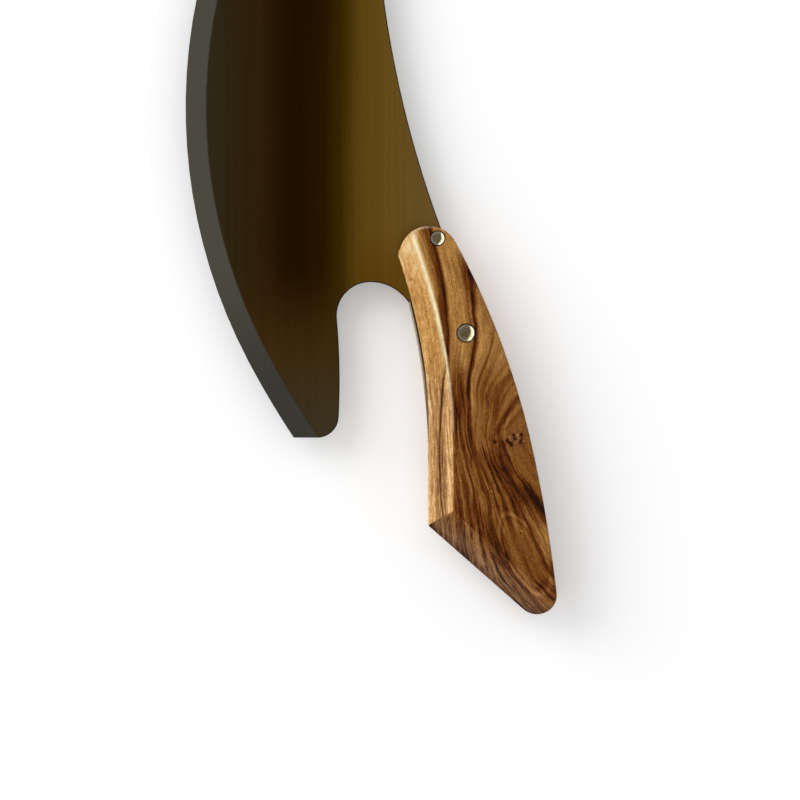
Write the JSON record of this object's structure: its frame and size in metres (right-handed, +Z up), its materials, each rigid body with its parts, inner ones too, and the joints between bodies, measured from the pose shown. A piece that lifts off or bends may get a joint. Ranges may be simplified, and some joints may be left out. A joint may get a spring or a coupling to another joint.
{
  "type": "rocker knife",
  "caption": "Broad curved rocker knife for pizza and herbs, with a notch for the index finger and a slotted wooden handle pinned over a half tang.",
  "frame": {"origin": "under the middle of the knife's box, on the plane of the handle's lower face", "axes": "+X from the blade's tip to the handle's butt, +Y from the cutting edge to the spine, +Z up through the thickness"},
  "size_m": [0.2884, 0.1186, 0.018],
  "materials": {
    "blade_steel": "satin rolled plate, ground edge",
    "olive_wood": "figured olive-type wood, oiled and polished",
    "pin_metal": "peened and polished"
  },
  "bodies": {
    "root": {"blade": "blade_steel", "handle": "olive_wood", "front_pin": "pin_metal", "rear_pin": "pin_metal"}
  },
  "joints": []
}
